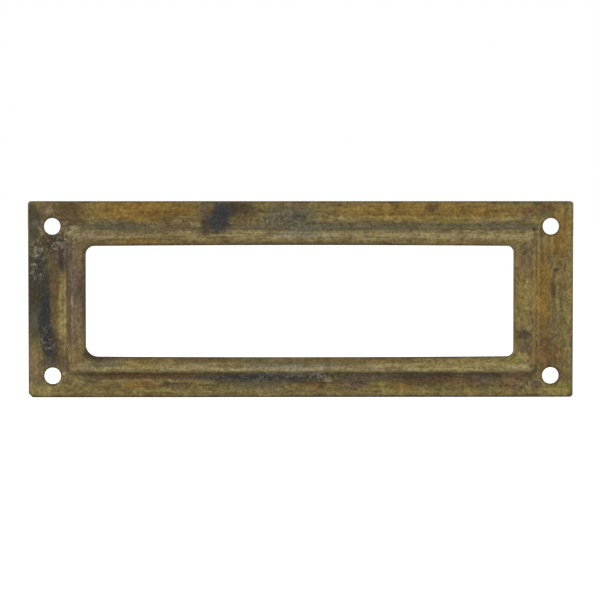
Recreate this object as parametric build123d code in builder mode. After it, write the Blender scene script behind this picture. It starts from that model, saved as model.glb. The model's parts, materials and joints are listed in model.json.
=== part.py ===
# Label holder for a drawer front: one piece of thin brass sheet, trimmed, pressed and punched.
#
# X runs along the holder, Z is up and Y points into the drawer front. The flat flange lies with
# its back on the XZ plane, the border round the window is raised towards -Y, and the origin is
# the middle of the four screw holes. The card lies in the shallow pocket that the raised border
# leaves behind it.

import os
from math import radians, tan

from build123d import *

# Driving dimensions, in millimetres and degrees

# Sheet and press tools
sheet = 0.6  # thickness of the brass
ridge_bend = 0.15  # inner radius of the step's upper bend, at the back
foot_bend = 0.9  # inner radius of its lower bend, the cove at the front

# Window that shows the label
window_width = 62.2
window_height = 16.3  # in the middle
window_bow = 0.13  # the long sides draw in by this towards each end
window_upper_left = 1.25  # corner radii: the punch was worn rounder at the left end
window_lower_left = 1.75
window_upper_right = 0.95
window_lower_right = 1.0
window_drift = -0.3  # the window was punched a little left of the border's middle
window_roll = 0.25  # rounding that the punch left on the front edge

# Raised border round the window
border_end = 2.7  # window to the ridge line, at each end
border_rail = 2.1  # window to the ridge line, above and below
border_lift = 0.7  # height of the border above the flange
slope_angle = 45.0  # steepness of the step, from the flange's plane
crown_corner = 0.25  # corner radius of the flat top of the border

# Flange and its screw holes
flange_rail = 3.34  # foot of the step to the trimmed edge, above and below
hole_diameter = 2.4
hole_land = 0.223  # flat metal between the cove and a hole, at each end
hole_margin = 3.4  # middle of a hole to the trimmed edge, both ways
hole_roll = 0.12

# Trimmed outline
trim_drift_x = -0.12  # the outline was trimmed a little off the middle of the holes
trim_drift_z = 0.26
trim_corner = 0.5
clipped_corner = 0.6  # the lower left corner has been knocked off
trim_roll = 0.2

# Sizes that follow from those above
outer_ridge_bend = ridge_bend + sheet
outer_foot_bend = foot_bend + sheet
bend_reach = tan(radians(slope_angle / 2))  # from a bend's corner line to its start, per radius
slope_run = border_lift / tan(radians(slope_angle))

ridge_width = window_width + 2 * border_end
ridge_height = window_height + 2 * border_rail
ridge_corner = crown_corner + outer_ridge_bend * bend_reach

foot_width = ridge_width + 2 * slope_run
foot_height = ridge_height + 2 * slope_run
foot_corner = ridge_corner + slope_run

# The back of the step stays one sheet's thickness from its front, square to the slope
mouth_inset = sheet * bend_reach
mouth_width = foot_width - 2 * mouth_inset
mouth_height = foot_height - 2 * mouth_inset
mouth_corner = foot_corner - mouth_inset

window_left = window_drift - window_width / 2
window_right = window_drift + window_width / 2
window_top = window_height / 2
window_end_top = window_top - window_bow

hole_spacing_x = foot_width + 2 * (foot_bend * bend_reach + hole_land) + hole_diameter
plate_width = hole_spacing_x + 2 * hole_margin
plate_height = foot_height + 2 * flange_rail
hole_spacing_z = plate_height - 2 * hole_margin

back = Plane.XZ
flange_front = Plane.XZ.offset(sheet)
draft = 90 - slope_angle


with BuildPart() as label_frame:
    # Trimmed flat blank, its front edge rounded by the cut
    with BuildSketch(back) as blank:
        with Locations((trim_drift_x, trim_drift_z)):
            Rectangle(plate_width, plate_height)
        fillet(blank.vertices().sort_by(lambda corner: corner.X + corner.Y)[1:], trim_corner)
        chamfer(blank.vertices().sort_by(lambda corner: corner.X + corner.Y)[0], clipped_corner)
    extrude(amount=sheet)
    front = label_frame.faces().sort_by(Axis.Y)[0]
    fillet(front.edges(), trim_roll)

    # Screw holes, one in each corner of the flange, punched from the front
    with Locations(flange_front):
        with GridLocations(hole_spacing_x, hole_spacing_z, 2, 2):
            Hole(hole_diameter / 2)
    front = label_frame.faces().sort_by(Axis.Y)[0]
    fillet(front.inner_wires().edges(), hole_roll)

    # Front of the raised border: its ridge, and the cove at its foot
    with BuildSketch(flange_front):
        RectangleRounded(foot_width, foot_height, foot_corner)
    extrude(amount=border_lift, taper=draft)
    crown = label_frame.faces().sort_by(Axis.Y)[0]
    fillet(crown.edges(), outer_ridge_bend)
    flange = label_frame.faces().filter_by(Axis.Y).sort_by(Axis.Y)[1]
    fillet(flange.inner_wires().sort_by(SortBy.LENGTH)[-1].edges(), foot_bend)

    # Card pocket behind the border: its ceiling, and its mouth in the mounting face
    with BuildSketch(back):
        RectangleRounded(mouth_width, mouth_height, mouth_corner)
    extrude(amount=border_lift, taper=draft, mode=Mode.SUBTRACT)
    ceiling = label_frame.faces(Select.LAST).filter_by(Axis.Y).sort_by(Axis.Y)[0]
    fillet(ceiling.edges(), ridge_bend)
    mounting_face = label_frame.faces().sort_by(Axis.Y)[-1]
    fillet(mounting_face.inner_wires().sort_by(SortBy.LENGTH)[-1].edges(), outer_foot_bend)

    # Window, punched from the front through the crown
    with BuildSketch(back) as window:
        with BuildLine():
            upper = ThreePointArc(
                (window_left, window_end_top), (window_drift, window_top), (window_right, window_end_top)
            )
            lower = ThreePointArc(
                (window_right, -window_end_top), (window_drift, -window_top), (window_left, -window_end_top)
            )
            Line(upper @ 1, lower @ 0)
            Line(lower @ 1, upper @ 0)
        make_face()
        fillet(window.vertices().sort_by(lambda corner: corner.X + corner.Y)[0], window_lower_left)
        fillet(window.vertices().sort_by(lambda corner: corner.X + corner.Y)[-1], window_upper_right)
        fillet(window.vertices().sort_by(lambda corner: corner.X - corner.Y)[0], window_upper_left)
        fillet(window.vertices().sort_by(lambda corner: corner.X - corner.Y)[-1], window_lower_right)
    extrude(amount=sheet + border_lift, mode=Mode.SUBTRACT)
    crown = label_frame.faces().sort_by(Axis.Y)[0]
    fillet(crown.inner_wires().edges(), window_roll)

label_frame.part.label = "label_frame"

os.makedirs("parts", exist_ok=True)
export_step(label_frame.part, "parts/label_frame.step")
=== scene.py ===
import json
import math

import bpy
import numpy as np
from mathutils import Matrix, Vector


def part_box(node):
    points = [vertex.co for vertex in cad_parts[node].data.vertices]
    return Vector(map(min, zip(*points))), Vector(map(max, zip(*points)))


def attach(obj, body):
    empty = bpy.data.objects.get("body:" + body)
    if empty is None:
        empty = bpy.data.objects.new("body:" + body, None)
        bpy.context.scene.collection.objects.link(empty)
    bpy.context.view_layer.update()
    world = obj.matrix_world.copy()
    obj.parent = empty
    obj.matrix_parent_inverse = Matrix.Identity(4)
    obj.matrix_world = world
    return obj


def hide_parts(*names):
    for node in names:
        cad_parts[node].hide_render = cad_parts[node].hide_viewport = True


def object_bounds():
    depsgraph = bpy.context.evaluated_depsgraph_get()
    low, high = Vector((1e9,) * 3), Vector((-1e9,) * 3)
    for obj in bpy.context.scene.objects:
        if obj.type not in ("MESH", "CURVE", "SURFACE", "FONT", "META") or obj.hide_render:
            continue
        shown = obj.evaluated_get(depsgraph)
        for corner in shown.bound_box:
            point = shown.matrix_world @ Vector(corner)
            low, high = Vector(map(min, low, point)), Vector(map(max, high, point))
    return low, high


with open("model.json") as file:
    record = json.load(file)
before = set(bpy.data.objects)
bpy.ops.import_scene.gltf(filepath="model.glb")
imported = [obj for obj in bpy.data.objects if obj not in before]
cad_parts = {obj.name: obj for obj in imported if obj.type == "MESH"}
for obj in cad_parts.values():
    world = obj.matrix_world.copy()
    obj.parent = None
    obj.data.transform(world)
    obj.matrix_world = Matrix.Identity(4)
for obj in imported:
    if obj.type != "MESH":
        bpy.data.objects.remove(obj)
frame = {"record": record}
cadBox = [[float(value) for value in corner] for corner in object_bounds()]
print("frame loaded, CAD box in metres:", cadBox)

mm = 0.001  # every size below is in millimetres, Blender works in metres


def linear(hexColour):
    # sRGB hex to the linear red, green, blue, alpha of a colour socket
    srgb = np.array([int(hexColour[i:i + 2], 16) for i in (1, 3, 5)]) / 255
    rgb = np.where(srgb <= 0.04045, srgb / 12.92, ((srgb + 0.055) / 1.055) ** 2.4)
    return (*rgb.tolist(), 1.0)


def add(tree, kind, inputs=None, **settings):
    # one node with its settings; inputs gives a socket, by name or number, a value or another node's output
    node = tree.nodes.new(kind)
    for name, value in settings.items():
        setattr(node, name, value)
    for key, value in (inputs or {}).items():
        if isinstance(value, bpy.types.NodeSocket):
            tree.links.new(value, node.inputs[key])
        else:
            node.inputs[key].default_value = value
    return node


# Pressed frame: one sheet, trimmed, with a border pressed up round the window and four punched screw holes

pressedSheet = {
    "thickness": 0.6,  # of the brass
    "ridgeBend": 0.15,  # inner radius of the step's upper bend, at the back
    "footBend": 0.9,  # inner radius of its lower bend, the cove at the front
    "slope": 45.0,  # degrees from the flange's plane
    "lift": 0.7,  # crown of the border above the flange
    "ridge": (67.6, 20.5),  # corner line of the step's upper bend
    "crownCorner": 0.25,  # corner radius of the border's flat top
    "window": (62.2, 16.3),
    "windowCentre": (-0.3, 0.0),
    "windowBow": 0.13,  # the long sides draw in by this towards each end
    "windowCorners": (0.95, 1.0, 1.75, 1.25),  # upper right, lower right, lower left, upper left
    "windowRoll": 0.25,  # rounding that the punch left on the front edge
    "trimCorners": (0.5, 0.5, 0.6, 0.5),  # of the outline, in the same order
    "trimClipped": (0, 0, 1, 0),  # 1 where the corner is knocked off straight
    "trimRoll": 0.2,
    "holeRoll": 0.12,
    # slow waves that pressing by hand left in the sheet: wavelength along x and z, phase, depth
    "waves": ((23.0, 31.0, 0.4, 0.018), (-14.5, 19.0, 2.1, 0.012), (9.0, -27.0, 4.0, 0.008)),
    "pit": (34.0, 10.6, 0.35, 0.08),  # x, z, radius and depth of the dint by the upper right corner
    "sharpAngle": 40.0,  # degrees, above which an edge shows as a line
    # points along the long and the short sides, round a corner and across each part of the section; the patch
    # round a screw hole starts so many rings in from the edge and reaches so many points along the end
    "meshSteps": {"long": 300, "short": 96, "corner": 10, "flange": 16, "bend": 6, "crown": 9, "roll": 4,
                  "wall": 2, "hole": 6, "patchFrom": 4, "patchReach": 13},
    # bands of the finish: where each starts to show and where it is full, on its two sides; the crease band
    # carries dark patina with painted shade, the ridge band wear with painted highlight, the rim painted
    # shade
    "finishBands": {
        "crease": ((-0.1, 0.2), (1.8, 0.7)),  # outwards from the ridge line
        "ridge": ((-0.05, 0.5), (1.5, 0.7)),  # inwards from the ridge line
        "rim": (0.35, 0.05),  # from a cut edge
        "ends": (0.1, 1.1),  # beyond the mitre that runs out from each corner of the window
    },
}
meshSteps, finishBands = pressedSheet["meshSteps"], pressedSheet["finishBands"]

low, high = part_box("label_frame")
trimSize = np.array([high.x - low.x, high.z - low.z]) / mm
trimCentre = np.array([high.x + low.x, high.z + low.z]) / 2 / mm
holeDims = next(mount["dims"] for mount in frame["record"]["mounts"] if mount["name"] == "screw_holes")
holeAt = np.array([holeDims["spacing_x_mm"], holeDims["spacing_y_mm"]]) / 2
holeRadius = holeDims["hole_r_mm"]

outerRidgeBend = pressedSheet["ridgeBend"] + pressedSheet["thickness"]
outerFootBend = pressedSheet["footBend"] + pressedSheet["thickness"]
slope = math.radians(pressedSheet["slope"])
bendReach = math.tan(slope / 2)  # from a bend's corner line to its start, per radius
slopeRun = pressedSheet["lift"] / math.tan(slope)
footSize = np.array(pressedSheet["ridge"]) + 2 * slopeRun
footCorner = pressedSheet["crownCorner"] + outerRidgeBend * bendReach + slopeRun
windowHalf = np.array(pressedSheet["window"]) / 2
sideSteps = (meshSteps["long"], meshSteps["short"]) * 2
quarters = np.array([(1, 1), (1, -1), (-1, -1), (-1, 1)])  # upper right, lower right, lower left, upper left


def ramp(values, start, full):
    # smooth step: 0 at start, 1 at full
    share = np.clip((values - start) / (full - start), 0, 1)
    return share * share * (3 - 2 * share)


def roundedRing(size, centre, corners, clipped=(0, 0, 0, 0), bow=0.0):
    # closed ring of a rounded rectangle, clockwise from the front: each side in turn, then the corner after
    # it; a corner is radius times (cos, sin), and a clipped one is divided by |cos| + |sin|, which makes it
    # straight; bow shrinks z by a share that grows with the square of x, so the long sides curve in
    half = np.asarray(size) / 2
    starts, ends, arcs = [], [], []
    for number, (radius, clip) in enumerate(zip(corners, clipped)):
        turn = np.pi / 2 * (np.linspace(1, 0, meshSteps["corner"] + 1) - number)
        around = np.stack([np.cos(turn), np.sin(turn)], 1)
        around /= 1 + clip * (np.abs(around).sum(1, keepdims=True) - 1)
        arc = quarters[number] * (half - radius) + radius * around
        arcs.append(arc[:-1])
        starts.append(arc[-1])
        ends.append(arc[0])
    ring = []
    for number, steps in enumerate(sideSteps):
        along = np.linspace(0, 1, steps, endpoint=False)[:, None]
        ring.append(starts[number - 1] + (ends[number] - starts[number - 1]) * along)
        ring.append(arcs[number])
    ring = np.concatenate(ring)
    ring[:, 1] *= 1 - bow / half[1] * (ring[:, 0] / half[0]) ** 2
    return ring + centre


def stepProfile(firstRadius, secondRadius, level):
    # section of the step on one side of the sheet: an arc that leaves the flange, the straight slope, and an
    # arc that comes level with the crown; gives each point's distance in from the foot line and its height y
    turn = np.linspace(0, slope, meshSteps["bend"] + 1)
    back = turn[::-1]
    start = -pressedSheet["footBend"] * bendReach
    end = slopeRun + outerRidgeBend * bendReach
    inset = np.concatenate([start + firstRadius * np.sin(turn), end - secondRadius * np.sin(back)])
    rise = np.concatenate([firstRadius * (1 - np.cos(turn)),
                           pressedSheet["lift"] - secondRadius * (1 - np.cos(back))])
    return inset, level - rise


def sheetFace(trimInset, windowOutset, holeOutset, firstRadius, secondRadius, level):
    # one face of the sheet as rings from the trimmed edge in to the window: straight lines over the flange,
    # the step's section carried round the foot line, straight lines over the crown; a patch of each flange
    # corner gives way to rings that run from the patch's border to the edge of the screw hole
    clipped = np.array(pressedSheet["trimClipped"])
    cornerLoss = np.where(clipped, 2 - math.sqrt(2), 1)  # what a corner loses when its sides move in by 1
    trimRadii = np.array(pressedSheet["trimCorners"]) - trimInset * cornerLoss
    trim = roundedRing(trimSize - 2 * trimInset, trimCentre, trimRadii, clipped)
    windowRadii = np.array(pressedSheet["windowCorners"]) + windowOutset
    window = roundedRing(2 * (windowHalf + windowOutset), pressedSheet["windowCentre"], windowRadii,
                         bow=pressedSheet["windowBow"])
    inset, stepHeight = stepProfile(firstRadius, secondRadius, level)
    step = np.stack([roundedRing(footSize - 2 * way, (0, 0), [footCorner - way] * len(quarters))
                     for way in inset])

    share = np.linspace(0, 1, meshSteps["flange"] + 1)[:-1, None, None]
    flange = trim + (step[0] - trim) * share
    share = np.linspace(0, 1, meshSteps["crown"] + 1)[1:, None, None]
    crown = step[-1] + (window - step[-1]) * share
    rings = np.concatenate([flange, step, crown])
    heights = np.concatenate([np.full(len(flange), level), stepHeight, np.full(len(crown), stepHeight[-1])])

    rows, around = rings.shape[:2]
    index = np.arange(rows * around).reshape(rows, around)
    nextOne = np.roll(index, -1, 1)
    quads = np.stack([index[:-1], nextOne[:-1], nextOne[1:], index[1:]], -1)
    deep = np.repeat(heights[:, None], around, 1)
    points = [np.stack([rings[..., 0], deep, rings[..., 1]], -1).reshape(-1, 3)]
    count = rows * around

    # hole patches: each takes in the corner arc and a short way along the end of the frame, which comes
    # after the corner and before it by turns
    first, last = meshSteps["patchFrom"], meshSteps["flange"] - 1
    cornerStart = np.cumsum(sideSteps) + meshSteps["corner"] * np.arange(len(quarters))
    keep = np.ones((rows - 1, around), bool)
    patches, holeLoops = [], []
    for number, quarter in enumerate(quarters):
        before = meshSteps["patchReach"] * (number % 2)
        after = meshSteps["patchReach"] - before
        span = np.arange(-before, meshSteps["corner"] + after + 1) + cornerStart[number]
        span %= around
        keep[first:last, span[:-1]] = False
        border = np.concatenate([index[first, span[:-1]], index[first:last, span[-1]],
                                 index[last, span[:0:-1]], index[last:first:-1, span[0]]])
        centre = holeAt * quarter
        rim = points[0][border][:, [0, 2]]
        bearing = np.arctan2(*(rim - centre).T[::-1])
        circle = centre + (holeRadius + holeOutset) * np.stack([np.cos(bearing), np.sin(bearing)], 1)
        share = np.linspace(0, 1, meshSteps["hole"] + 1)[1:, None, None]
        fan = rim + (circle - rim) * share
        points.append(np.stack([fan[..., 0], np.full(fan.shape[:2], level), fan[..., 1]], -1).reshape(-1, 3))
        made = count + np.arange(len(points[-1])).reshape(fan.shape[:2])
        count += len(points[-1])
        fanIndex = np.concatenate([border[None], made])
        fanNext = np.roll(fanIndex, -1, 1)
        patches.append(np.stack([fanIndex[:-1], fanNext[:-1], fanNext[1:], fanIndex[1:]], -1).reshape(-1, 4))
        holeLoops.append(fanIndex[-1])
    quads = np.concatenate([quads[keep], *patches])
    return np.concatenate(points), quads, [index[0], index[-1], *holeLoops]


def cutEdge(points, frontLoop, backLoop, roll, count):
    # cut edge of the sheet: a quarter round from the front face, inset roll * (1 - sin) and depth
    # roll * (1 - cos), then the straight wall to the back face; the faces look out of the metal when the
    # loops run clockwise round it
    front, back = points[frontLoop], points[backLoop]
    turn = np.linspace(0, np.pi / 2, meshSteps["roll"] + 1)[1:, None]
    wall = np.linspace(0, 1, meshSteps["wall"] + 1)[1:-1, None]
    lean = np.concatenate([1 - np.sin(turn), 0 * wall])[..., None]
    depth = np.concatenate([roll * (1 - np.cos(turn)), roll + (pressedSheet["thickness"] - roll) * wall])
    rings = back + (front - back) * lean
    rings[..., 1] = front[:, 1] + depth
    made = count + np.arange(rings.shape[0] * rings.shape[1]).reshape(rings.shape[:2])
    index = np.concatenate([frontLoop[None], made, backLoop[None]])
    nextOne = np.roll(index, -1, 1)
    quads = np.stack([index[:-1], nextOne[:-1], nextOne[1:], index[1:]], -1).reshape(-1, 4)
    return rings.reshape(-1, 3), quads


def insetFrom(points, size, corner, centre=(0, 0)):
    # how far points lie inside a rounded rectangle, negative outside it: the corner radius, less the distance
    # from the smaller rectangle that its corner centres make
    beyond = np.abs(points - np.asarray(centre)) - (np.asarray(size) / 2 - corner)
    return corner - np.linalg.norm(np.maximum(beyond, 0), axis=1) - np.minimum(beyond.max(1), 0)


def finishFields(plan, onBack):
    # where the finish follows the form: dark patina with painted shade at the foot of the step, wear with
    # painted highlight on the ridge, painted shade on the cut edges, the back and the two ends; each is a
    # smooth step of the distance from a line of the plan
    ridgeIn = insetFrom(plan, footSize, footCorner) - slopeRun
    local = plan - pressedSheet["windowCentre"]
    unbowed = local / np.stack([np.ones(len(plan)), 1 - pressedSheet["windowBow"] / windowHalf[1]
                                * np.clip(local[:, 0] / windowHalf[0], -1, 1) ** 2], 1)
    toWindow = -insetFrom(unbowed, 2 * windowHalf, np.mean(pressedSheet["windowCorners"]))
    toHole = np.linalg.norm(np.abs(plan) - holeAt, axis=1) - holeRadius
    toTrim = insetFrom(plan, trimSize, pressedSheet["trimCorners"][0], trimCentre)
    toCut = np.minimum(np.minimum(toTrim, toHole), toWindow)
    creaseUp, creaseDown = finishBands["crease"]
    ridgeUp, ridgeDown = finishBands["ridge"]
    return {
        "crease": ramp(-ridgeIn, *creaseUp) * ramp(-ridgeIn, *creaseDown),
        "ridge": ramp(ridgeIn, *ridgeUp) * ramp(ridgeIn, *ridgeDown),
        "rim": ramp(toCut, *finishBands["rim"]),
        "rear": onBack,
        "ends": ramp((np.abs(plan) - windowHalf) @ (1, -1), *finishBands["ends"]),
    }


def labelFrame():
    # the whole sheet: its front and its back, joined by cut edges round the outline, the window and each hole
    front, frontQuads, frontLoops = sheetFace(
        pressedSheet["trimRoll"], pressedSheet["windowRoll"], pressedSheet["holeRoll"],
        pressedSheet["footBend"], outerRidgeBend, -pressedSheet["thickness"])
    back, backQuads, backLoops = sheetFace(0, 0, 0, outerFootBend, pressedSheet["ridgeBend"], 0.0)
    points = [np.concatenate([front, back])]
    quads = [frontQuads[:, ::-1], backQuads + len(front)]
    holeRolls = [pressedSheet["holeRoll"]] * len(quarters)
    rolls = [pressedSheet["trimRoll"], pressedSheet["windowRoll"], *holeRolls]
    ways = [1, -1, *[-1] * len(quarters)]  # round the metal, or backwards round an opening in it
    for frontLoop, backLoop, roll, way in zip(frontLoops, backLoops, rolls, ways):
        made = sum(map(len, points))
        rings, strip = cutEdge(points[0], frontLoop[::way], backLoop[::way] + len(front), roll, made)
        points.append(rings)
        quads.append(strip)
    points = np.concatenate(points)
    onBack = np.zeros(len(points))
    onBack[len(front):len(front) + len(back)] = 1
    # points that lay inside the hole patches drop out
    used, quads = np.unique(np.concatenate(quads), return_inverse=True)
    points, onBack, quads = points[used], onBack[used], quads.reshape(-1, 4)
    fields = finishFields(points[:, [0, 2]], onBack)

    # slow waves: depth * sin(x and z over their wavelengths, plus a phase), alike on both faces; then the
    # dint, a bell curve of the distance from its middle, on the front only
    for alongX, alongZ, phase, depth in pressedSheet["waves"]:
        points[:, 1] += depth * np.sin(2 * np.pi * (points[:, 0] / alongX + points[:, 2] / alongZ) + phase)
    pitX, pitZ, pitRadius, pitDepth = pressedSheet["pit"]
    fromPit = np.hypot(points[:, 0] - pitX, points[:, 2] - pitZ) / pitRadius
    points[:, 1] += pitDepth * (1 - onBack) * np.exp(-fromPit ** 2)

    mesh = bpy.data.meshes.new("pressedFrame")
    mesh.from_pydata((points * mm).tolist(), [], quads.tolist())
    mesh.shade_smooth()
    mesh.set_sharp_from_angle(angle=math.radians(pressedSheet["sharpAngle"]))
    for name, values in fields.items():
        mesh.attributes.new(name, "FLOAT", "POINT").data.foreach_set("value", values.astype(np.float32))
    piece = bpy.data.objects.new("pressedFrame", mesh)
    bpy.context.scene.collection.objects.link(piece)
    return piece


pressedFrame = labelFrame()
print("pressed frame:", len(pressedFrame.data.vertices), "points,", len(pressedFrame.data.polygons), "faces")


# Aged brass: cold rolled sheet, pressed, then darkened by air and a brushed-on ageing solution. The eye gets
# a dull gold that shows through blotches of brown, plum, grey-green and blue-black, with dark patina and
# painted shade in the creases, painted shade on the cut edges, and ridges lightened by wear and painted
# highlight

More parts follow.
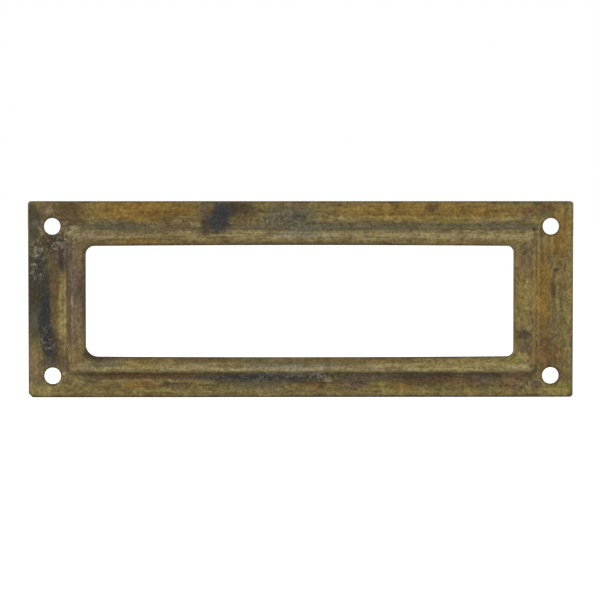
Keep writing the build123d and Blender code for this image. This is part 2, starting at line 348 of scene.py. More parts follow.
patina = {
    # sRGB tones: olive lies under all, and the layers, stains and specks are laid in the others
    "tones": {
        "olive": "#6b6143",
        "gold": "#84733f",
        "honey": "#7c612c",
        "umber": "#5a4931",
        "bark": "#43362a",
        "rust": "#6d482d",
        "plum": "#584843",
        "rose": "#7e6b54",
        "sage": "#5b5746",
        "moss": "#787138",
        "slate": "#534f3e",
        "ink": "#2b2e36",
        "tar": "#35352e",
        "sootAndShade": "#3b332a",
        "rubbedAndSheen": "#968965",
        "straw": "#8c7e4f",
        "chalk": "#a8a38b",
        "ash": "#7f7f77",
    },
    "metal": 0.8,  # share that reflects as metal, the rest being tarnish
    "roughness": (0.44, 0.6),  # where the tarnish is smoothest and where it is dullest
    "polish": 0.12,  # how much smoother the rubbed ridges are
    "creep": ((2.4, 0.6), (1.2, 0.45), (0.5, 0.2)),  # sizes of the noise that shifts a blotch, and how far
    # noises: size of a mark in x and z on the rails, the same on the ends, fine detail in it and how strong
    # that is; the grain is drawn coarser than real
    "blotches": {"cloud": ((6.0, 4.0), (4.0, 6.0), 3.0, 0.55),
                 "tint": ((2.6, 0.9), (0.9, 2.6), 4.0, 0.6),
                 "mottle": ((1.5, 1.1), (1.1, 1.5), 4.0, 0.62),
                 "grain": ((0.42, 0.3), (0.3, 0.42), 2.0, 0.6)},
    "brushed": {"stroke": ((8.0, 0.4), (0.75, 5.0), 3.0, 0.6)},
    "span": (0.3, 0.7),  # part of a noise's range that is put to use
    # darkest and lightest that each makes red, green and blue: tarnish is brown where dark, grey where pale
    "shade": {"grain": ((0.66, 0.62, 0.48), (1.35, 1.4, 1.52)),
              "stroke": ((0.83, 0.8, 0.72), (1.2, 1.22, 1.28)),
              "mottle": ((0.79, 0.76, 0.66), (1.24, 1.27, 1.35))},
    "relief": 0.03,  # height of the grain
    "atEnds": {"crease": 0.05, "ridge": 0.1},  # share of the crease's patina and painted shade, and of the ridge's wear and painted highlight, at the ends
    # layers, the ground's under the stains and the edges' over them: tone, field it keeps to, noise that
    # breaks it up, where in the noise it starts and is full, strength
    "ground": (
        ("gold", "all", "mottle", 0.38, 0.62, 0.7),
        ("honey", "all", "stroke", 0.48, 0.66, 0.45),
        ("umber", "all", "cloud", 0.52, 0.7, 0.5),
        ("bark", "all", "stroke", 0.45, 0.28, 0.35),
        ("sage", "all", "cloud", 0.44, 0.3, 0.35),
        ("umber", "all", "mottle", 0.55, 0.68, 0.7),
        ("rust", "all", "tint", 0.54, 0.68, 0.5),
        ("moss", "all", "tint", 0.44, 0.3, 0.5),
        # dark patina with painted shade in the creases
        ("slate", "crease", "mottle", 0.1, 0.5, 0.65),
        # wear with painted highlight on the ridges
        ("rubbedAndSheen", "ridge", "stroke", 0.25, 0.55, 0.65),
        ("umber", "rear", "mottle", 0.2, 0.5, 0.4),
    ),
    "edges": (
        # painted shade along every cut edge, where the rounded edge turns away from the light
        ("sootAndShade", "rim", "grain", 0.1, 0.4, 0.55),
    ),
    "stainEdge": (1.15, 0.5),  # where a stain starts to show and where it is full, 1 on its oval
    "stainBreak": (0.3, 0.55, 0.5),  # where in the noise a stain is thinnest and full, and how thin it gets
    "stainStrokes": 0.5,  # share of the brush strokes in what breaks a stain up
    # stains that the eye picks out, a later one over an earlier: tone, middle (x, z), half size (x, z),
    # strength
    # stains along the creases of the rails are dark patina with painted shade; pale ones on the ridges are
    # wear with painted highlight
    "stains": {
        # top left corner and left end
        "brownCorner": ("umber", (-35.2, 12.4), (4.4, 2.4), 0.75),
        "tarCorner": ("tar", (-39.0, 11.6), (1.2, 3.4), 0.8),
        "roseCorner": ("rose", (-37.2, 13.4), (1.0, 1.1), 0.8),
        "brownByHole": ("umber", (-33.8, 13.0), (2.3, 1.3), 0.9),
        "brownUnderHole": ("umber", (-32.6, 11.4), (1.4, 0.9), 0.8),
        "rubbedSpot": ("rubbedAndSheen", (-33.0, 10.2), (0.9, 0.9), 0.7),
        "sootUnderHole": ("sootAndShade", (-35.6, 8.5), (2.8, 1.9), 0.85),
        "plumLeft": ("plum", (-34.9, 6.4), (2.0, 2.3), 0.9),
        "sootRidgeLeft": ("sootAndShade", (-34.4, 6.0), (1.2, 2.3), 0.95),
        "tarLeft": ("tar", (-38.4, 1.6), (2.5, 9.0), 1.0),
        "sageLeft": ("sage", (-38.7, 7.0), (0.9, 0.9), 0.85),
        "sageLeftLow": ("sage", (-38.8, -2.8), (0.9, 2.2), 0.6),
        "inkLeft": ("ink", (-37.3, -2.6), (1.2, 4.0), 0.9),
        "inkLeftLow": ("ink", (-36.7, -6.2), (1.2, 3.0), 1.0),
        "inkAboveHole": ("ink", (-36.5, -8.8), (1.6, 0.8), 0.7),
        "rustLeft": ("rust", (-36.2, 2.2), (0.45, 2.2), 0.7),
        "brownStreakLeft": ("umber", (-36.0, 0.8), (0.75, 6.0), 0.8),
        "brownStreakHigh": ("umber", (-35.6, 3.0), (0.5, 2.4), 0.8),
        "barkStreakLow": ("bark", (-35.7, -6.2), (0.7, 2.4), 0.7),
        "strawStreakLeft": ("straw", (-34.95, -1.6), (0.5, 5.4), 0.7),
        "darkLineLeft": ("bark", (-33.95, -0.5), (0.45, 9.0), 0.9),
        "darkLineHigh": ("sootAndShade", (-33.85, 2.6), (0.4, 3.0), 0.7),
        "brownCoveLeft": ("umber", (-34.4, 0.0), (0.4, 5.0), 0.5),
        "brownCoveLow": ("umber", (-34.6, -6.6), (0.8, 2.2), 0.7),
        "barkCoveLow": ("bark", (-34.4, -9.0), (0.8, 1.5), 0.8),
        "roseUnderCove": ("rose", (-34.0, -10.6), (0.8, 0.5), 0.7),
        "plumBandLeft": ("plum", (-32.5, 1.0), (1.6, 10.0), 0.5),
        "plumBandHigh": ("plum", (-32.8, 2.2), (1.0, 3.0), 0.5),
        "roseLineLeft": ("rose", (-33.4, -2.0), (0.3, 6.5), 0.8),
        "barkEdgeLeft": ("bark", (-31.8, 2.0), (0.5, 7.0), 0.6),
        "paleCornerLeft": ("rose", (-38.9, -10.0), (1.1, 3.4), 0.5),
        "strawCornerLeft": ("straw", (-37.2, -13.1), (3.8, 0.8), 0.9),
        "strawByHole": ("straw", (-32.8, -11.3), (1.2, 0.9), 0.7),
        "sootAboveHole": ("sootAndShade", (-35.8, -8.2), (1.0, 0.8), 0.6),
        "ashCorner": ("ash", (-38.7, 11.2), (0.7, 0.8), 0.35),
        "strawCornerEdge": ("straw", (-38.7, -12.4), (0.9, 0.9), 0.5),
        "sageAboveHole": ("sage", (-37.2, -8.9), (0.8, 0.8), 0.5),
        "rubbedUnderCove": ("rubbedAndSheen", (-34.3, -10.6), (0.8, 0.6), 0.4),
        # top rail
        "honeyTopLeft": ("honey", (-22.9, 13.2), (9.6, 1.9), 0.9),
        "umberTopInk": ("umber", (-14.0, 13.8), (0.9, 0.9), 0.8),
        "strawTopLeft": ("straw", (-15.7, 11.2), (1.2, 0.5), 0.7),
        "brownTopLeft": ("umber", (-18.0, 11.9), (3.6, 0.8), 0.6),
        "slateCreaseLeft": ("slate", (-26.1, 10.9), (4.4, 0.8), 0.85),
        "brownCreaseLeft": ("umber", (-18.4, 10.8), (3.6, 0.6), 0.7),
        "umberCreaseLeft": ("umber", (-24.0, 11.2), (1.6, 0.5), 0.6),
        "umberByScratch": ("umber", (-17.9, 12.1), (1.0, 0.6), 0.55),
        "scratchTop": ("straw", (-16.8, 12.3), (0.9, 0.14), 0.8),
        "scratchTopLow": ("straw", (-18.1, 11.7), (0.9, 0.14), 0.7),
        "roseBand": ("rose", (-30.0, 9.6), (2.4, 0.7), 0.7),
        "brownRidgeLeft": ("umber", (-23.5, 9.9), (8.0, 0.45), 0.45),
        "barkRidgeLine": ("bark", (-23.0, 9.05), (8.5, 0.22), 0.5),
        "honeyBand": ("honey", (-23.5, 8.9), (4.0, 0.5), 0.8),
        "strawBand": ("straw", (-19.0, 9.5), (2.4, 0.4), 0.4),
        "umberBand": ("umber", (-14.2, 9.7), (1.4, 0.7), 0.6),
        "plumByInk": ("plum", (-14.2, 12.7), (0.7, 1.7), 0.7),
        "inkPatch": ("ink", (-12.2, 11.6), (2.2, 2.0), 0.95),
        "inkUpper": ("ink", (-11.2, 13.4), (2.1, 1.5), 0.9),
        "inkTop": ("ink", (-12.4, 13.9), (0.8, 0.7), 0.5),
        "barkByInk": ("bark", (-14.1, 10.7), (0.8, 1.4), 0.9),
        "barkDrops": ("bark", (-8.9, 13.5), (1.9, 1.0), 0.85),
        "barkBesideInk": ("bark", (-8.2, 12.9), (2.3, 1.6), 0.55),
        "sageCloud": ("sage", (-1.6, 12.3), (4.4, 2.4), 0.85),
        "plumInSage": ("plum", (-1.8, 12.0), (2.2, 0.8), 0.5),
        "inkInSage": ("ink", (-0.4, 12.3), (1.2, 0.8), 0.5),
        "paleInSage": ("rose", (-0.8, 13.9), (1.2, 0.5), 0.4),
        "sageCrease": ("sage", (0.0, 10.9), (6.5, 0.8), 0.75),
        "ashRidgeTop": ("ash", (-0.8, 9.6), (5.2, 0.6), 0.4),
        "slateCrease": ("slate", (3.0, 10.6), (14.0, 0.35), 0.5),
        "honeyTopRight": ("honey", (18.0, 13.0), (16.0, 1.6), 0.8),
        "brownTopRight": ("umber", (19.0, 13.5), (1.2, 0.7), 0.8),
        "strawTopRight": ("straw", (17.0, 12.0), (17.0, 0.45), 0.6),
        "mossTopRight": ("moss", (22.0, 11.7), (3.0, 0.6), 0.6),
        "slateCreaseRight": ("slate", (29.0, 10.9), (4.0, 0.6), 0.7),
        "darkBandTop": ("umber", (-5.0, 8.4), (30.0, 0.32), 0.75),
        "strawInTop": ("straw", (3.6, 13.7), (1.3, 0.6), 0.6),
        "barkBandLeft": ("bark", (-29.4, 8.5), (1.7, 0.4), 0.5),
        "umberStepTop": ("umber", (-3.9, 10.8), (1.5, 1.0), 0.5),
        "honeyTopMiddle": ("honey", (15.2, 12.1), (1.6, 0.6), 0.5),
        "umberStepLeft": ("umber", (-22.7, 9.9), (1.5, 0.9), 0.4),
        "umberTopRight": ("umber", (21.2, 13.0), (1.5, 0.8), 0.35),
        "umberRidgeTop": ("umber", (6.5, 9.5), (1.3, 0.6), 0.35),
        "umberRidgeMiddle": ("umber", (-5.2, 9.5), (1.2, 0.6), 0.35),
        "honeyRidgeTop": ("honey", (-16.8, 9.5), (1.3, 0.6), 0.35),
        "slateCreaseMiddle": ("slate", (5.0, 11.2), (1.2, 0.7), 0.4),
        # right end
        "rustTopRight": ("rust", (32.8, 13.2), (1.4, 0.7), 0.7),
        "plumTopRight": ("plum", (32.7, 12.1), (1.0, 0.6), 0.5),
        "goldCornerRight": ("gold", (38.6, 9.5), (0.7, 1.6), 0.6),
        "rustCornerRight": ("rust", (36.6, 13.6), (1.2, 0.6), 0.5),
        "honeyCornerRight": ("honey", (37.6, 9.4), (2.0, 4.2), 0.85),
        "mossByHole": ("moss", (34.2, 11.9), (0.9, 0.6), 0.5),
        # dark paint in the dint by the upper right corner: painted shade
        "pit": ("sootAndShade", (33.97, 10.58), (0.4, 0.4), 0.9),
        "pitLine": ("bark", (33.9, 8.9), (0.22, 1.5), 0.6),
        "roseBandRight": ("rose", (32.4, 6.2), (1.3, 2.2), 0.4),
        "goldBandRight": ("gold", (32.2, 0.6), (1.2, 3.6), 0.6),
        "smudgeRight": ("sootAndShade", (32.3, -4.9), (1.4, 0.9), 0.8),
        "plumBandLow": ("plum", (32.1, -6.6), (1.2, 0.9), 0.5),
        "strawBandEnd": ("straw", (32.3, -8.0), (1.1, 0.7), 0.8),
        "umberRidgeEnd": ("umber", (34.3, -9.4), (0.9, 1.0), 0.8),
        "honeyEndRight": ("honey", (35.2, 1.0), (1.4, 8.0), 0.85),
        "darkMarkRight": ("sootAndShade", (37.0, 4.5), (0.5, 0.4), 0.8),
        "slateStreakRight": ("slate", (36.8, -1.0), (0.5, 5.0), 0.3),
        "darkStreakRight": ("sootAndShade", (36.6, 2.4), (0.35, 2.2), 0.55),
        "strawStreakRight": ("straw", (37.3, 0.4), (0.5, 2.2), 0.5),
        "honeyLineRight": ("honey", (34.3, 2.0), (0.6, 6.0), 0.4),
        "brownLineRight": ("umber", (34.2, -4.6), (0.8, 4.4), 0.6),
        "strawEdgeRight": ("straw", (38.9, 0.0), (0.6, 11.0), 0.4),
        "rustAboveHole": ("rust", (35.6, -7.4), (2.4, 2.2), 0.5),
        "brownAboveHole": ("umber", (36.4, -6.2), (1.2, 1.6), 0.5),
        "mossCornerRight": ("moss", (37.9, -12.8), (1.8, 1.1), 0.9),
        "strawCornerRight": ("straw", (36.2, -13.2), (3.4, 0.6), 0.8),
        "strawBandHigh": ("straw", (31.4, 8.7), (0.9, 0.7), 0.5),
        "strawUnderHole": ("straw", (35.6, 8.7), (1.3, 0.9), 0.45),
        # pale mark on the upper right ridge: wear and painted highlight
        "rubbedSheenCornerHigh": ("rubbedAndSheen", (32.6, 9.5), (1.2, 0.6), 0.6),
        "strawEdgeHigh": ("straw", (38.6, 9.6), (0.7, 0.9), 0.5),
        "plumStreakRight": ("plum", (37.1, -4.5), (0.8, 1.2), 0.35),
        "umberStreakRight": ("umber", (35.6, -3.6), (0.9, 1.2), 0.4),
        # bottom rail
        # painted shadow in the lower left corner of the window and along the start of its lower edge
        "paintedShadowCornerLow": ("sootAndShade", (-30.8, -7.7), (1.2, 0.8), 0.9),
        "paintedShadowEdgeCorner": ("sootAndShade", (-28.8, -8.35), (2.6, 0.42), 0.85),
        "brownBandLow": ("umber", (-18.0, -8.5), (13.0, 0.6), 0.55),
        "brownBandMiddle": ("umber", (3.0, -8.9), (9.0, 0.8), 0.5),
        "sageBandMiddle": ("sage", (-4.0, -8.8), (5.0, 0.7), 0.4),
        "goldBandLow": ("gold", (-24.0, -9.2), (4.0, 0.7), 0.6),
        "sageBandLow": ("sage", (-29.1, -9.2), (2.4, 0.6), 0.6),
        "strawBandLow": ("straw", (23.5, -9.3), (10.5, 1.0), 0.8),
        "umberBandLow": ("umber", (15.0, -8.9), (1.4, 0.7), 0.5),
        "mossBandLow": ("moss", (31.0, -8.8), (1.2, 0.6), 0.8),
        "umberRidgeLow": ("umber", (-8.0, -9.5), (8.0, 0.35), 0.3),
        "ashRidgeLow": ("ash", (-1.0, -9.6), (8.0, 0.5), 0.4),
        "strawMiddleLow": ("straw", (-19.7, -9.0), (1.6, 0.6), 0.6),
        # pale lines along the lower ridge: wear and painted highlight
        "rubbedSheenRidgeLow": ("rubbedAndSheen", (4.0, -9.95), (28.0, 0.22), 0.6),
        "rubbedSheenCornerLow": ("rubbedAndSheen", (30.0, -9.85), (3.6, 0.35), 0.8),
        "umberRidgeRight": ("umber", (13.2, -9.8), (1.8, 0.5), 0.6),
        # lower crease: dark patina with painted shade, eased in places by paler marks
        "brownCreaseLow": ("umber", (-22.5, -10.85), (10.5, 0.5), 0.9),
        "rustCreaseLeft": ("rust", (-22.5, -10.95), (9.5, 0.5), 0.35),
        "strawCreaseLow": ("straw", (-22.0, -11.65), (8.0, 0.4), 0.6),
        "inkCreaseLow": ("ink", (-6.5, -11.4), (8.5, 1.0), 0.6),
        "tarCreaseLow": ("tar", (2.0, -11.4), (6.0, 1.0), 0.5),
        "inkLineLow": ("ink", (-8.0, -11.1), (10.0, 0.45), 0.6),
        "plumCreaseLow": ("plum", (9.0, -11.5), (4.0, 1.1), 0.7),
        "sootAndShadeCreaseLow": ("sootAndShade", (17.5, -11.4), (6.0, 1.1), 0.6),
        "inkLineRight": ("ink", (17.5, -11.1), (6.0, 0.4), 0.5),
        "ashCreaseLow": ("ash", (-2.0, -10.6), (6.5, 0.5), 0.35),
        "paleCreaseLow": ("ash", (-0.7, -10.6), (1.2, 0.5), 0.8),
        "paleCreaseRight": ("ash", (2.3, -10.7), (1.0, 0.45), 0.5),
        "paleCreaseUnder": ("rubbedAndSheen", (3.6, -11.5), (0.9, 0.5), 0.5),
        "rustCreaseRight": ("rust", (20.0, -11.5), (8.5, 0.6), 0.4),
        "plumLineLow": ("plum", (26.9, -10.7), (1.6, 0.5), 0.5),
        "plumCreaseRight": ("plum", (26.3, -11.3), (3.4, 1.0), 0.5),
        "roseLineLow": ("rose", (30.8, -10.7), (2.2, 0.5), 0.7),
        "rustCreaseLow": ("rust", (31.3, -11.0), (2.2, 0.8), 0.35),
        "roseCreaseLow": ("rose", (31.2, -12.2), (1.2, 0.7), 0.5),
        "rustLowRight": ("rust", (30.6, -12.2), (2.6, 0.9), 0.35),
        "plumLowRight": ("plum", (34.3, -12.2), (1.0, 0.7), 0.7),
        "brownLowRight": ("umber", (24.0, -12.2), (3.0, 0.9), 0.35),
        "honeyLowRight": ("honey", (14.6, -12.8), (2.4, 0.8), 0.8),
        "mossLowRight": ("moss", (11.0, -12.2), (1.6, 0.7), 0.6),
        "plumLowMiddle": ("plum", (7.4, -12.4), (1.8, 0.9), 0.5),
        "rustLowMiddle": ("rust", (2.2, -12.4), (1.6, 0.8), 0.6),
        "umberLowMiddle": ("umber", (2.1, -13.3), (1.5, 0.6), 0.6),
        "umberLowBeside": ("umber", (5.0, -12.4), (1.2, 0.7), 0.5),
        "strawLowRight": ("straw", (19.6, -13.2), (3.0, 0.6), 0.6),
        "sageLow": ("sage", (-6.0, -12.6), (5.0, 1.1), 0.6),
        "strawLowMiddle": ("straw", (-8.1, -13.2), (1.3, 0.5), 0.5),
        "honeyLowLeft": ("honey", (-23.5, -12.3), (3.4, 0.7), 0.7),
        "umberLowLeft": ("umber", (-18.9, -12.3), (2.7, 0.6), 0.7),
        # dark line along the lower cut edge: painted shade
        "paintedShadeEdgeLow": ("sootAndShade", (0.0, -14.05), (40.0, 0.25), 0.5),
        "strawEdgeLow": ("straw", (0.0, -13.2), (32.0, 0.6), 0.45),
        "umberEdgeLow": ("umber", (-2.6, -13.3), (2.0, 0.6), 0.5),
        "mossLowLeft": ("moss", (-21.3, -13.2), (2.4, 0.5), 0.5),
        "rustLowLeft": ("rust", (-22.6, -11.9), (1.3, 0.5), 0.7),
        "barkLowLeft": ("bark", (-19.4, -12.0), (1.5, 0.4), 0.7),
        "rustBesideBark": ("rust", (-16.4, -11.9), (1.1, 0.4), 0.6),
        "umberEdgeRight": ("umber", (2.1, -13.3), (1.5, 0.6), 0.4),
        "sageRidgeLow": ("sage", (9.4, -9.8), (1.2, 0.5), 0.4),
        "sageRidgeCorner": ("sage", (-31.4, -9.8), (1.2, 0.5), 0.35),
        "sageBandCorner": ("sage", (-27.0, -8.9), (1.3, 0.6), 0.5),
        # pale marks on the lower ridge: wear and painted highlight
        "rubbedSheenRidgeRight": ("rubbedAndSheen", (25.4, -9.8), (1.6, 0.4), 0.6),
        "rubbedSheenRidgeLeft": ("rubbedAndSheen", (-25.6, -9.8), (1.4, 0.45), 0.5),
        "umberBandRight": ("umber", (19.6, -8.9), (1.2, 0.6), 0.3),
        "roseLowRight": ("rose", (31.2, -12.4), (1.2, 0.7), 0.4),
    },
    # places thick with tiny pale and black specks: middle (x, z), half size (x, z), strength
    "speckled": {
        "underHole": ((-35.6, 8.7), (3.2, 2.2), 1.0),
        "besideHole": ((-34.2, 10.9), (1.1, 1.6), 0.7),
        "leftEdge": ((-38.4, 6.2), (1.4, 3.6), 1.0),
        "lowLeft": ((-37.0, -6.0), (1.2, 2.8), 0.7),
        "roundLowHole": ((-36.3, -10.9), (2.4, 2.2), 0.6),
        "lowRight": ((32.4, -12.2), (1.8, 1.1), 0.8),
        "creaseLow": ((2.6, -10.9), (2.8, 0.8), 1.0),
        "creaseLowLeft": ((-7.0, -11.0), (7.0, 0.7), 0.5),
        "lowLeftFlange": ((-19.5, -12.2), (5.0, 0.9), 0.35),
        "creaseTop": ((-2.0, 11.0), (7.0, 0.9), 0.3),
        "sageTop": ((-4.4, 11.7), (3.2, 1.2), 0.5),
        "sageTopRight": ((0.6, 12.4), (2.4, 1.4), 0.3),
        "creaseTopRight": ((28.0, 10.8), (5.0, 0.8), 0.3),
        "roundHighHole": ((-37.2, 10.6), (1.6, 1.6), 0.5),
    },
    # a speck: its size and how strong its fine detail is; for each kind, where in the noise it starts and is
    # full, and its strength
    "speck": {"size": 0.4, "rough": 0.8, "kinds": {"chalk": (0.53, 0.65, 0.5), "sootAndShade": (0.49, 0.38, 0.9)}},
}


def agedBrass():
    # ground layers, then the stains, the painted shade on the cut edges, the grain and the specks, each laid
    # over the last
    material = bpy.data.materials.new("agedPressedBrass")
    material.use_nodes = True
    tree = material.node_tree
    tree.nodes.clear()
    place = add(tree, "ShaderNodeTexCoord").outputs["Object"]
    fields = {name: add(tree, "ShaderNodeAttribute", attribute_name=name).outputs["Fac"]
              for name in ("crease", "ridge", "rim", "rear", "ends")}
    fields["all"] = 1.0
    # the painted shade in the creases and the painted highlight on the ridges are mostly kept off the two
    # ends, which face the side light
    for name, share in patina["atEnds"].items():
        less = add(tree, "ShaderNodeMapRange", {"Value": fields["ends"], "To Min": 1.0, "To Max": share})
        fields[name] = add(tree, "ShaderNodeMath", {0: fields[name], 1: less.outputs[0]},
                           operation="MULTIPLY").outputs[0]
    front = add(tree, "ShaderNodeMath", {0: 1.0, 1: fields["rear"]}, operation="SUBTRACT").outputs[0]

    # the patina creeps: every place is shifted by noise of several sizes before a blotch is drawn on it
    noiseMiddle = 0.5  # mean of a noise
    creeping = place
    for size, shift in patina["creep"]:
        noise = add(tree, "ShaderNodeTexNoise", {"Vector": place, "Scale": 1 / (size * mm)})
        centred = add(tree, "ShaderNodeVectorMath", {0: noise.outputs["Color"], 1: (noiseMiddle,) * 3},
                      operation="SUBTRACT")
        moved = add(tree, "ShaderNodeVectorMath", {0: centred.outputs[0], "Scale": shift * mm},
                    operation="SCALE")
        creeping = add(tree, "ShaderNodeVectorMath", {0: creeping, 1: moved.outputs[0]}).outputs[0]

    # noises run along the rails and, on the ends, up and down; blotches creep, brush strokes stay straight
    noises = {}
    for kind, where in (("blotches", creeping), ("brushed", place)):
        for name, (*sizes, detail, roughness) in patina[kind].items():
            ways = []
            for wide, tall in sizes:
                mark = (wide * mm, wide * mm, tall * mm)
                drawn = add(tree, "ShaderNodeMapping", {"Vector": where, "Scale": mark},
                            vector_type="TEXTURE")
                ways.append(add(tree, "ShaderNodeTexNoise", {"Vector": drawn.outputs[0], "Scale": 1.0,
                                                             "Detail": detail, "Roughness": roughness}))
            noises[name] = add(tree, "ShaderNodeMix", {"Factor": fields["ends"], 2: ways[0].outputs["Fac"],
                                                       3: ways[1].outputs["Fac"]}).outputs[0]

    def overlay(colour, tone, field, value, start, full, strength):
        # lays a tone over the colour where the value passes from start to full, as far as the field lets it
        mask = add(tree, "ShaderNodeMapRange", {"Value": value, "From Min": start, "From Max": full,
                                                "To Max": strength}, interpolation_type="SMOOTHSTEP")
        mask = add(tree, "ShaderNodeMath", {0: mask.outputs[0], 1: field}, operation="MULTIPLY")
        laid = linear(patina["tones"][tone])
        return add(tree, "ShaderNodeMix", {"Factor": mask.outputs[0], 6: colour, 7: laid},
                   data_type="RGBA").outputs[2]

    def spot(middle, half):
        # distance from the middle of an oval, 1 on its edge
        local = add(tree, "ShaderNodeVectorMath", {
            0: creeping, 1: (1 / (half[0] * mm), 0.0, 1 / (half[1] * mm)),
            2: (-middle[0] / half[0], 0.0, -middle[1] / half[1])}, operation="MULTIPLY_ADD")
        return add(tree, "ShaderNodeVectorMath", {0: local.outputs[0]}, operation="LENGTH").outputs["Value"]

    colour = linear(patina["tones"]["olive"])
    for tone, field, noise, *reach in patina["ground"]:
        colour = overlay(colour, tone, fields[field], noises[noise], *reach)
    both = add(tree, "ShaderNodeMix", {"Factor": patina["stainStrokes"], 2: noises["mottle"],
                                       3: noises["stroke"]})
    thinnest, full, thin = patina["stainBreak"]
    broken = add(tree, "ShaderNodeMapRange", {"Value": both.outputs[0], "From Min": thinnest,
                                              "From Max": full, "To Min": thin})
    broken = add(tree, "ShaderNodeMath", {0: broken.outputs[0], 1: front}, operation="MULTIPLY").outputs[0]
    for tone, middle, half, strength in patina["stains"].values():
        colour = overlay(colour, tone, broken, spot(middle, half), *patina["stainEdge"], strength)
    # painted shade along the cut edges
    for tone, field, noise, *reach in patina["edges"]:
        colour = overlay(colour, tone, fields[field], noises[noise], *reach)

    # grain, strokes and mottling of the tarnish, then the specks
    least, most = patina["span"]
    for noise, (darkest, lightest) in patina["shade"].items():
        used = add(tree, "ShaderNodeMapRange", {"Value": noises[noise], "From Min": least, "From Max": most})
        shade = add(tree, "ShaderNodeMix", {"Factor": used.outputs[0], 4: darkest, 5: lightest},
                    data_type="VECTOR")
        shaded = add(tree, "ShaderNodeVectorMath", {0: colour, 1: shade.outputs[1]}, operation="MULTIPLY")
        colour = shaded.outputs[0]
    speck = add(tree, "ShaderNodeTexNoise", {"Vector": place, "Scale": 1 / (patina["speck"]["size"] * mm),
                                             "Roughness": patina["speck"]["rough"]})
    start, full = patina["stainEdge"]
    thick = 0.0
    for middle, half, strength in patina["speckled"].values():
        mask = add(tree, "ShaderNodeMapRange", {"Value": spot(middle, half), "From Min": start,
                                                "From Max": full, "To Max": strength})
        thick = add(tree, "ShaderNodeMath", {0: thick, 1: mask.outputs[0]}, operation="MAXIMUM").outputs[0]
    thick = add(tree, "ShaderNodeMath", {0: thick, 1: front}, operation="MULTIPLY").outputs[0]
    for tone, reach in patina["speck"]["kinds"].items():
        colour = overlay(colour, tone, thick, speck.outputs["Fac"], *reach)

    smooth, dull = patina["roughness"]
    rough = add(tree, "ShaderNodeMapRange", {"Value": noises["mottle"], "From Min": least, "From Max": most,
                                             "To Min": smooth, "To Max": dull})
    rough = add(tree, "ShaderNodeMath", {0: fields["ridge"], 1: -patina["polish"], 2: rough.outputs[0]},
                operation="MULTIPLY_ADD")
    relief = add(tree, "ShaderNodeBump", {"Height": noises["grain"], "Distance": patina["relief"] * mm})
    shader = add(tree, "ShaderNodeBsdfPrincipled", {
        "Base Color": colour, "Metallic": patina["metal"], "Roughness": rough.outputs[0],
        "Normal": relief.outputs[0]})
    add(tree, "ShaderNodeOutputMaterial", {"Surface": shader.outputs[0]})
    return material


pressedFrame.data.materials.append(agedBrass())
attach(pressedFrame, "root")
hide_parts("label_frame")
print("aged brass:", len(patina["stains"]), "placed stains,", len(patina["speckled"]), "speckled places")


# Studio: a white room with soft boxes and a pale floor

studio = {
    "roomFill": 0.7,  # the room's light on the frame and the floor
    "floorColour": "#f4f4f2",
    "floorGlow": 0.55,  # what the camera sees of the floor above its own shade, so that it comes out white
    "floorSize": 3000.0,
    "sensor": 36.0,  # width of the camera's sensor
    # degrees round to the right and up from the front, distance, and the width seen at the point aimed at
    "camera": {"azimuth": -0.8, "elevation": 2.33, "distance": 420.0, "width": 87.37,
               "aim": (-0.27, -0.6, 0.16)},
    # middle, size and power in watts of each soft box
    "softBoxes": {
        "softBoxLeft": ((-420.0, -200.0, 120.0), 300.0, 1.2),
        "softBoxRight": ((420.0, -230.0, 120.0), 300.0, 0.85),
        "softBoxAbove": ((0.0, -180.0, 420.0), 300.0, 0.35),
    },
}


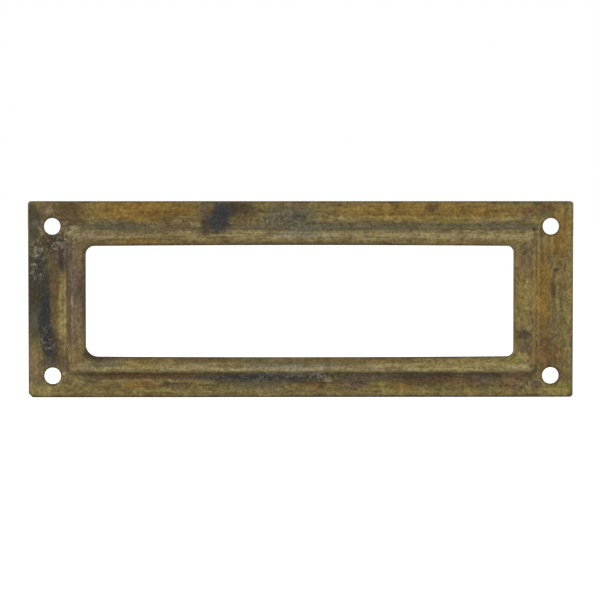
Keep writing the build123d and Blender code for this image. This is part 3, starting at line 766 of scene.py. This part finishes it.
def studioFloor():
    # a flat square under the frame's lower edge
    half = studio["floorSize"] / 2 * mm
    under = cadBox[0][2]
    mesh = bpy.data.meshes.new("floor")
    corners = [(x * half, y * half, under) for x, y in quarters.tolist()]
    mesh.from_pydata(corners, [], [(3, 2, 1, 0)])  # one face, which looks up
    floor = bpy.data.objects.new("floor", mesh)
    bpy.context.scene.collection.objects.link(floor)

    # white paper: matt, with a glow for the camera only, so that it meets the white room and keeps the shadow
    material = bpy.data.materials.new("whitePaper")
    material.use_nodes = True
    tree = material.node_tree
    tree.nodes.clear()
    seen = add(tree, "ShaderNodeLightPath").outputs["Is Camera Ray"]
    glow = add(tree, "ShaderNodeMath", {0: seen, 1: studio["floorGlow"]}, operation="MULTIPLY")
    matt = add(tree, "ShaderNodeBsdfDiffuse", {"Color": linear(studio["floorColour"])})
    light = add(tree, "ShaderNodeEmission", {"Strength": glow.outputs[0]})
    both = add(tree, "ShaderNodeAddShader", {0: matt.outputs[0], 1: light.outputs[0]})
    add(tree, "ShaderNodeOutputMaterial", {"Surface": both.outputs[0]})
    mesh.materials.append(material)


def studioLight():
    # a room that is white to the camera and dimmer as light, and soft boxes that face the frame
    scene = bpy.context.scene
    world = bpy.data.worlds.new("whiteRoom")
    scene.world = world
    world.use_nodes = True
    tree = world.node_tree
    tree.nodes.clear()
    seen = add(tree, "ShaderNodeLightPath").outputs["Is Camera Ray"]
    level = add(tree, "ShaderNodeMapRange", {"Value": seen, "To Min": studio["roomFill"], "To Max": 1.0})
    room = add(tree, "ShaderNodeBackground", {"Color": (1, 1, 1, 1), "Strength": level.outputs[0]})
    add(tree, "ShaderNodeOutputWorld", {"Surface": room.outputs[0]})

    middle = Vector(studio["camera"]["aim"]) * mm
    for name, (place, size, power) in studio["softBoxes"].items():
        lamp = bpy.data.lights.new(name, "AREA")
        lamp.size = size * mm
        lamp.energy = power
        box = bpy.data.objects.new(name, lamp)
        box.location = Vector(place) * mm
        box.rotation_euler = (middle - box.location).to_track_quat("-Z", "Y").to_euler()
        scene.collection.objects.link(box)


def studioCamera():
    # the lens is as long as makes the stated width fill the picture
    scene = bpy.context.scene
    scene.view_settings.view_transform = "Standard"
    view = studio["camera"]
    turn, tilt = math.radians(view["azimuth"]), math.radians(view["elevation"])
    towards = Vector((math.sin(turn) * math.cos(tilt), -math.cos(turn) * math.cos(tilt), math.sin(tilt)))
    camera = bpy.data.objects.new("camera", bpy.data.cameras.new("camera"))
    camera.data.sensor_width = studio["sensor"]
    camera.data.lens = studio["sensor"] * view["distance"] / view["width"]
    camera.location = (Vector(view["aim"]) + towards * view["distance"]) * mm
    camera.rotation_euler = (-towards).to_track_quat("-Z", "Y").to_euler()
    scene.collection.objects.link(camera)
    scene.camera = camera


studioFloor()
studioLight()
studioCamera()
print("studio:", len(studio["softBoxes"]), "soft boxes, floor and camera")
